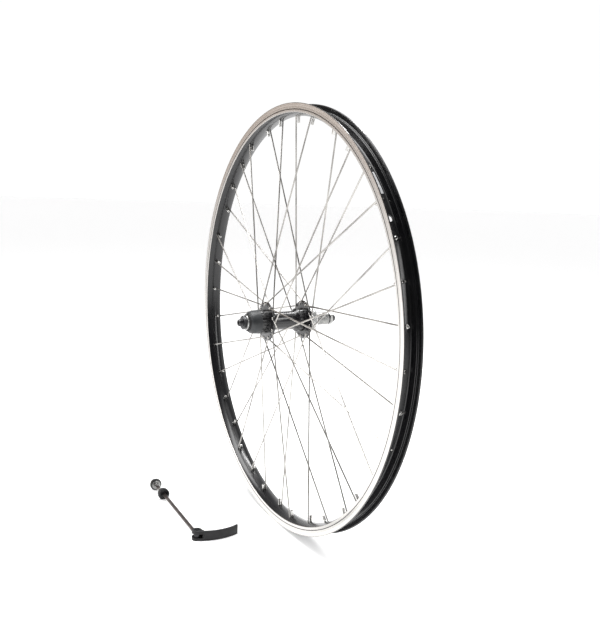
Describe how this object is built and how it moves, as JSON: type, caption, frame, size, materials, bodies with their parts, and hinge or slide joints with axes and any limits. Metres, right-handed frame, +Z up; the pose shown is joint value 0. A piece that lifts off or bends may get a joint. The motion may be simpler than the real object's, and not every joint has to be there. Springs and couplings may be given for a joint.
{
  "type": "bicycle rear wheel",
  "caption": "Spoked rim-brake rear wheel with a hollow axle on ball bearings, and its quick release skewer lying beside it.",
  "frame": {"origin": "the wheel's centre: on the axle's axis, midway between the locknut faces and in the rim's middle plane", "axes": "+Y along the axle towards the drive side, +Z up, +X towards the rear; the floor that the rim and the skewer rest on is at Z = -0.286"},
  "size_m": [0.5719, 0.2137, 0.572],
  "materials": {
    "axle_steel": "black oxide, threaded",
    "bearing_steel": "ground",
    "washer_zinc": "zinc plated",
    "locknut_black": "black plated",
    "spacer_steel": "zinc plated, grooved",
    "hub_anodised": "gloss black anodised, bare thread",
    "ball_steel": "polished",
    "shield_steel": "pressed",
    "end_cap_plastic": "matt grey",
    "seal_rubber": "matt",
    "rim_aluminium": "black anodised with machined brake tracks",
    "spoke_steel": "drawn stainless",
    "nipple_nickel": "nickel plated",
    "rod_steel": "dark plated",
    "barrel_steel": "black plated",
    "lever_black": "satin black",
    "cup_black": "satin black",
    "grip_steel": "serrated",
    "spring_steel": "bright wire",
    "nut_black": "black anodised",
    "nylon_insert": "grey nylon"
  },
  "bodies": {
    "axle_assembly": {"axle": "axle_steel", "left_cone": "bearing_steel", "right_cone": "bearing_steel", "left_washer": "washer_zinc", "left_locknut": "locknut_black", "right_spacer": "spacer_steel", "right_lock_washer": "locknut_black", "right_locknut": "washer_zinc"},
    "wheel": {"hub_shell": "hub_anodised", "left_bearing_cup": "bearing_steel", "right_bearing_cup": "bearing_steel", "left_dust_shield": "shield_steel", "right_dust_shield": "shield_steel", "left_end_cap": "end_cap_plastic", "left_seal": "seal_rubber", "rim": "rim_aluminium", "left_leading_spokes": "spoke_steel", "left_trailing_spokes": "spoke_steel", "right_leading_spokes": "spoke_steel", "right_trailing_spokes": "spoke_steel", "left_nipples": "nipple_nickel", "right_nipples": "nipple_nickel"},
    "left_balls": {"left_bearing_balls": "ball_steel"},
    "right_balls": {"right_bearing_balls": "ball_steel"},
    "skewer": {"skewer_rod": "rod_steel", "skewer_barrel": "barrel_steel"},
    "lever": {"quick_release_lever": "lever_black"},
    "cam": {"cam_cup": "cup_black", "cam_grip_ring": "grip_steel", "cam_spring": "spring_steel"},
    "outer_spring": {"nut_spring": "spring_steel"},
    "nut": {"skewer_nut": "nut_black", "nut_insert": "nylon_insert", "nut_grip_ring": "grip_steel"}
  },
  "joints": [
    {"name": "wheel_spin", "type": "hinge", "parent": "axle_assembly", "child": "wheel", "pos_m": [0, 0, 0], "axis": [0, 1, 0], "continuous": true},
    {"name": "left_balls_orbit", "type": "hinge", "parent": "axle_assembly", "child": "left_balls", "pos_m": [0, -0.0452, 0], "axis": [0, 1, 0], "continuous": true},
    {"name": "right_balls_orbit", "type": "hinge", "parent": "axle_assembly", "child": "right_balls", "pos_m": [0, 0.0335, 0], "axis": [0, 1, 0], "continuous": true},
    {"name": "skewer_lift", "type": "slide", "parent": "axle_assembly", "child": "skewer", "axis": [0, 0, 1], "range_m": [0, 0.12]},
    {"name": "lever_swing", "type": "hinge", "parent": "skewer", "child": "lever", "pos_m": [0.0155, -0.132, -0.27936], "axis": [-0.0116, 0, -0.9999], "range_deg": [0, 180]},
    {"name": "cam_slide", "type": "slide", "parent": "skewer", "child": "cam", "axis": [0.9999, 0, -0.0116], "range_m": [0, 0.12]},
    {"name": "nut_travel", "type": "slide", "parent": "skewer", "child": "outer_spring", "axis": [0.9999, 0, -0.0116], "range_m": [0, 0.008]},
    {"name": "nut_turn", "type": "hinge", "parent": "outer_spring", "child": "nut", "pos_m": [-0.16449, -0.132, -0.27727], "axis": [0.9999, 0, -0.0116], "range_deg": [0, 3610]}
  ],
  "couplings": [
    {"joint": "left_balls_orbit", "follows": "wheel_spin", "ratio": 0.617},
    {"joint": "right_balls_orbit", "follows": "wheel_spin", "ratio": 0.617},
    {"joint": "nut_turn", "follows": "nut_travel", "rad_per_m": 7854}
  ]
}
